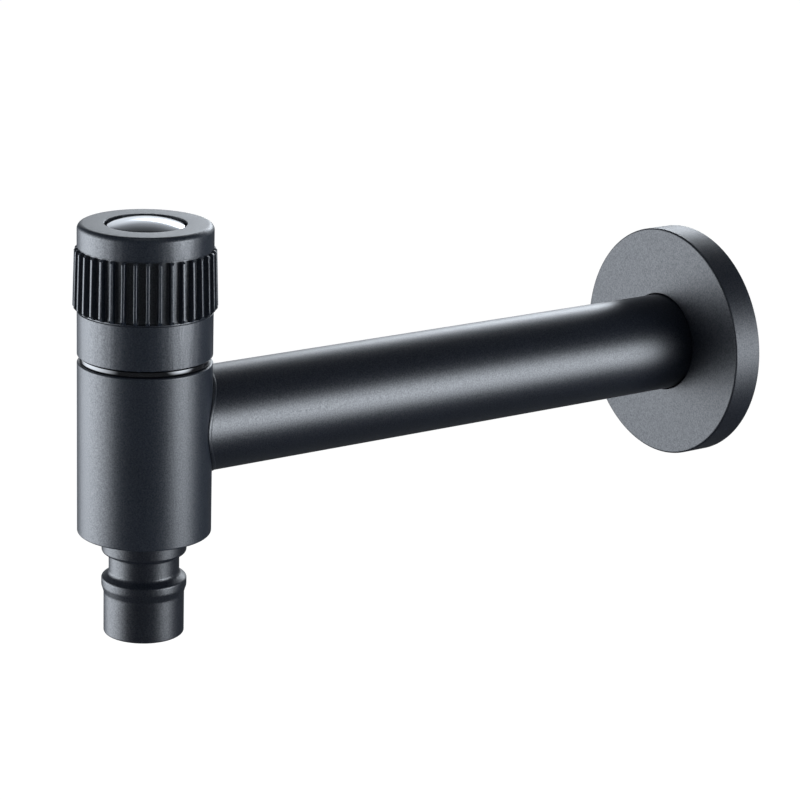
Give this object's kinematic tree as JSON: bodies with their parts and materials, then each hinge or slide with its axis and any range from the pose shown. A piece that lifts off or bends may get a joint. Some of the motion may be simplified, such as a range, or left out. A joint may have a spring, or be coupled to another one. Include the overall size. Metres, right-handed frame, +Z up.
{
  "type": "outdoor garden tap",
  "caption": "Wall-mounted garden tap: fluted rotary knob over an upright valve body, long round arm with a sliding wall flange, and a hose nozzle below.",
  "frame": {"origin": "on the axis of the arm, in the plane of the finished wall, where the inlet thread begins", "axes": "+Y into the wall along the arm and the inlet thread, +Z up along the head, so the head stands at -Y"},
  "size_m": [0.06, 0.1978, 0.1006],
  "materials": {
    "satin_black": "satin black coating on brass",
    "gloss_black": "glossy black",
    "chrome": "polished chrome plate",
    "raw_brass": "turned brass",
    "steel": "stainless steel",
    "ceramic": "lapped alumina ceramic",
    "white_plastic": "moulded nylon",
    "black_rubber": "black nitrile rubber"
  },
  "bodies": {
    "valve": {"valve_body": "satin_black", "arm_tube": "satin_black", "inlet_nipple": "raw_brass", "headwork_body": "raw_brass", "headwork_o_ring": "black_rubber", "seat_seal": "black_rubber", "fixed_disc": "ceramic", "trim_ring": "gloss_black", "hose_nozzle": "satin_black", "nozzle_gasket": "black_rubber"},
    "handle": {"knob": "satin_black", "spline_insert": "white_plastic", "index_button": "chrome", "button_o_ring": "black_rubber", "knob_screw": "steel", "screw_washer": "steel", "spindle": "raw_brass", "spindle_o_rings": "black_rubber", "slip_washer": "white_plastic", "stop_ring": "steel", "circlip": "steel", "moving_disc": "ceramic"},
    "rosette": {"wall_flange": "satin_black", "flange_o_ring": "black_rubber"}
  },
  "joints": [
    {"name": "knob_turn", "type": "hinge", "parent": "valve", "child": "handle", "pos_m": [0, -0.166, 0.02], "axis": [0, 0, 1], "range_deg": [0, 90]},
    {"name": "flange_slide", "type": "slide", "parent": "valve", "child": "rosette", "axis": [0, 1, 0], "range_m": [-0.138, 0]}
  ]
}
